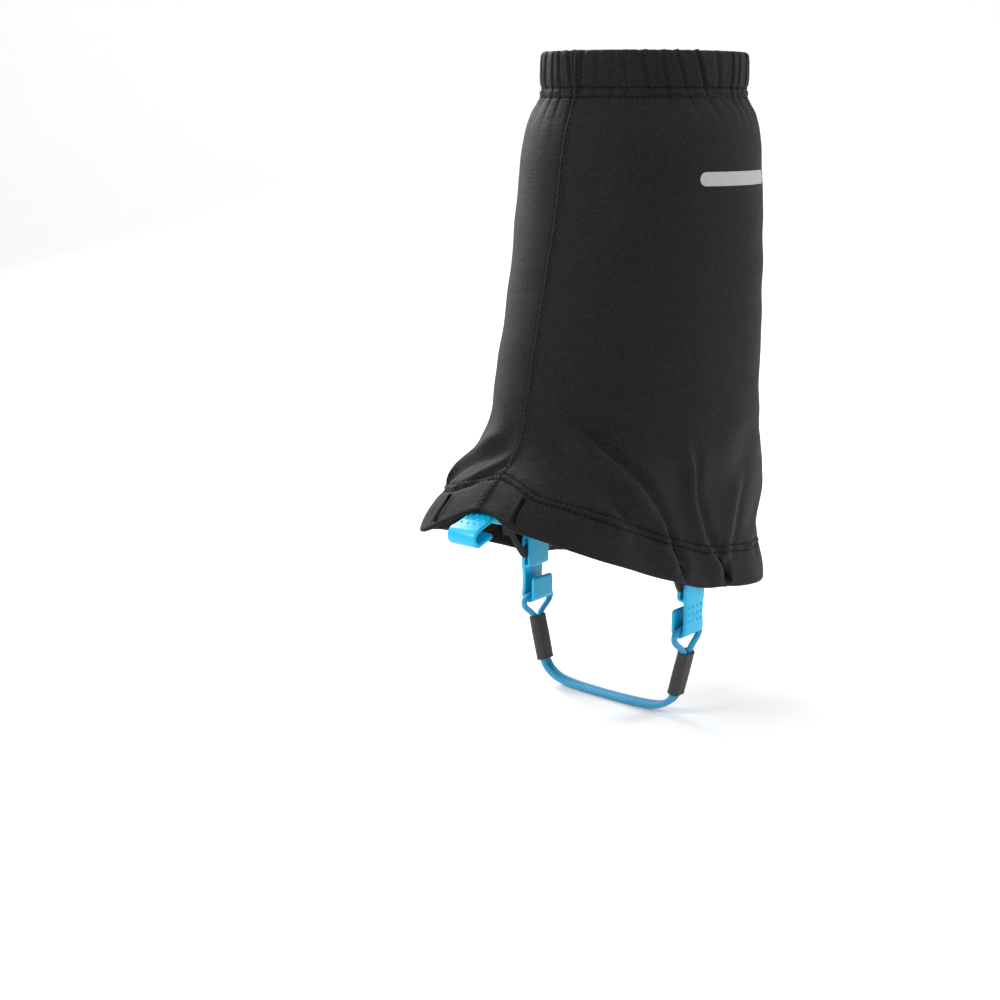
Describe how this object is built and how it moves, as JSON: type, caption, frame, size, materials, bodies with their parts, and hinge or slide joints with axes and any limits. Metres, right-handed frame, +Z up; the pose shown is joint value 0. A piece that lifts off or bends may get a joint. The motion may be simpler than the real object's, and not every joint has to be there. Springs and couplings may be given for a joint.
{
  "type": "gaiter",
  "caption": "Low running gaiter in stretch fabric with an elastic cuff, a front lace hook and side hooks that carry a cord passing under the shoe.",
  "frame": {"origin": "centre of the cuff's top opening, where the leg passes through", "axes": "+Z up along the leg, -Y towards the toes, +X towards the wearer's left, which is the outer side on the left foot"},
  "size_m": [0.1024, 0.1763, 0.2732],
  "materials": {
    "stretch_fabric": "matt stretch-woven cloth",
    "elastic_band": "woven elastic",
    "thread": "polyester thread",
    "webbing": "flat webbing",
    "hook_plastic": "moulded, satin",
    "cord": "smooth coated cord",
    "ferrule_metal": "plain",
    "sleeve_rubber": "matt",
    "reflective_film": "heat-pressed reflective film"
  },
  "bodies": {
    "gaiter": {"lateral_panel": "stretch_fabric", "medial_panel": "stretch_fabric", "cuff_elastic": "elastic_band", "front_seam_thread": "thread", "rear_seam_thread": "thread", "cuff_stitch_upper": "thread", "cuff_stitch_lower": "thread", "hem_stitch_upper": "thread", "hem_stitch_lower": "thread", "front_tape": "webbing", "lateral_tape": "webbing", "medial_tape": "webbing", "front_bar_tacks": "thread", "lateral_bar_tacks": "thread", "medial_bar_tacks": "thread", "reflective_bar": "reflective_film"},
    "lace_hook": {"front_hook": "hook_plastic"},
    "stirrup": {"lateral_hook": "hook_plastic", "medial_hook": "hook_plastic", "instep_cord": "cord", "cord_ferrule": "ferrule_metal"},
    "outer_sleeve": {"lateral_sleeve": "sleeve_rubber"},
    "inner_sleeve": {"medial_sleeve": "sleeve_rubber"}
  },
  "joints": [
    {"name": "lace_hook_swing", "type": "hinge", "parent": "gaiter", "child": "lace_hook", "pos_m": [0, -0.09938, -0.1746], "axis": [1, 0, 0], "range_deg": [0, 90], "deforming": ["front_tape"]},
    {"name": "stirrup_swing", "type": "hinge", "parent": "gaiter", "child": "stirrup", "pos_m": [0, -0.024, -0.213], "axis": [1, 0, 0], "range_deg": [-22, 22]},
    {"name": "outer_sleeve_slide", "type": "slide", "parent": "stirrup", "child": "outer_sleeve", "axis": [0.2419, 0, 0.9703], "range_m": [-0.003, 0], "deforming": ["instep_cord"]},
    {"name": "inner_sleeve_slide", "type": "slide", "parent": "stirrup", "child": "inner_sleeve", "axis": [-0.2419, 0, 0.9703], "range_m": [-0.003, 0], "deforming": ["instep_cord"]}
  ]
}
